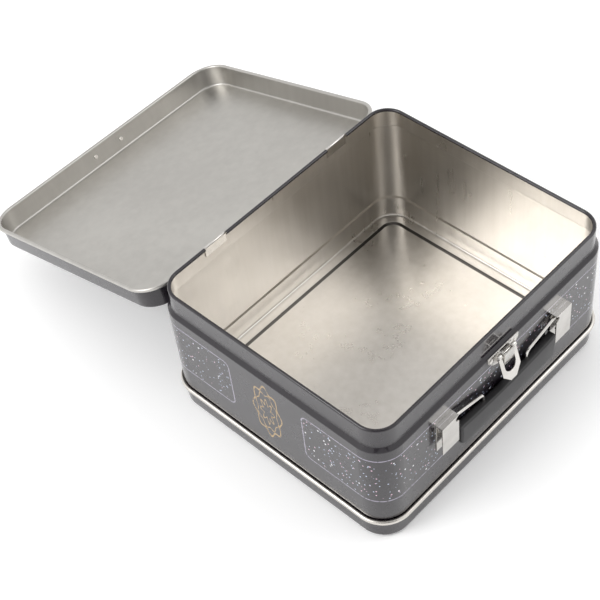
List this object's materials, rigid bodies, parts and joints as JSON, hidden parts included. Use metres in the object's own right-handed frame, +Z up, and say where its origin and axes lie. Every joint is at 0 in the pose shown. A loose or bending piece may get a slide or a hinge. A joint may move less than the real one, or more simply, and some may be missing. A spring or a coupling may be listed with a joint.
{
  "type": "metal lunch box",
  "caption": "Rectangular tin box with a hinged shallow lid, a snap latch and a swinging bail handle, shown open.",
  "frame": {"origin": "centre of the flat face that the box stands on", "axes": "+X along the long sides, -Y towards the latch and handle, +Y towards the hinges, +Z up"},
  "size_m": [0.217, 0.3718, 0.1042],
  "materials": {
    "printed_tin": "gloss",
    "bare_tin": "satin",
    "nickel": "polished",
    "grip_plastic": "satin"
  },
  "bodies": {
    "box": {"body_wall": "printed_tin", "bottom_tray": "printed_tin", "hinge_strap_left": "bare_tin", "hinge_strap_right": "bare_tin", "hinge_pin_left": "bare_tin", "hinge_pin_right": "bare_tin", "latch_base": "nickel", "latch_pin": "nickel", "latch_rivets": "nickel", "handle_bracket_left": "nickel", "handle_bracket_right": "nickel", "handle_bracket_rivets": "nickel"},
    "lid": {"lid_pan": "printed_tin", "lid_leaf_left": "bare_tin", "lid_leaf_right": "bare_tin", "lid_striker": "nickel", "striker_rivets": "nickel"},
    "latch": {"latch_flap": "nickel"},
    "handle": {"handle_bail": "nickel", "handle_grip": "grip_plastic"}
  },
  "joints": [
    {"name": "lid_hinge", "type": "hinge", "parent": "box", "child": "lid", "pos_m": [0, 0.0926, 0.0916], "axis": [1, 0, 0], "range_deg": [0, 196]},
    {"name": "latch_flip", "type": "hinge", "parent": "box", "child": "latch", "pos_m": [0, -0.0936, 0.0853], "axis": [-1, 0, 0], "range_deg": [-20, 164]},
    {"name": "handle_swing", "type": "hinge", "parent": "box", "child": "handle", "pos_m": [0, -0.0931, 0.0704], "axis": [-1, 0, 0], "range_deg": [0, 95]}
  ]
}
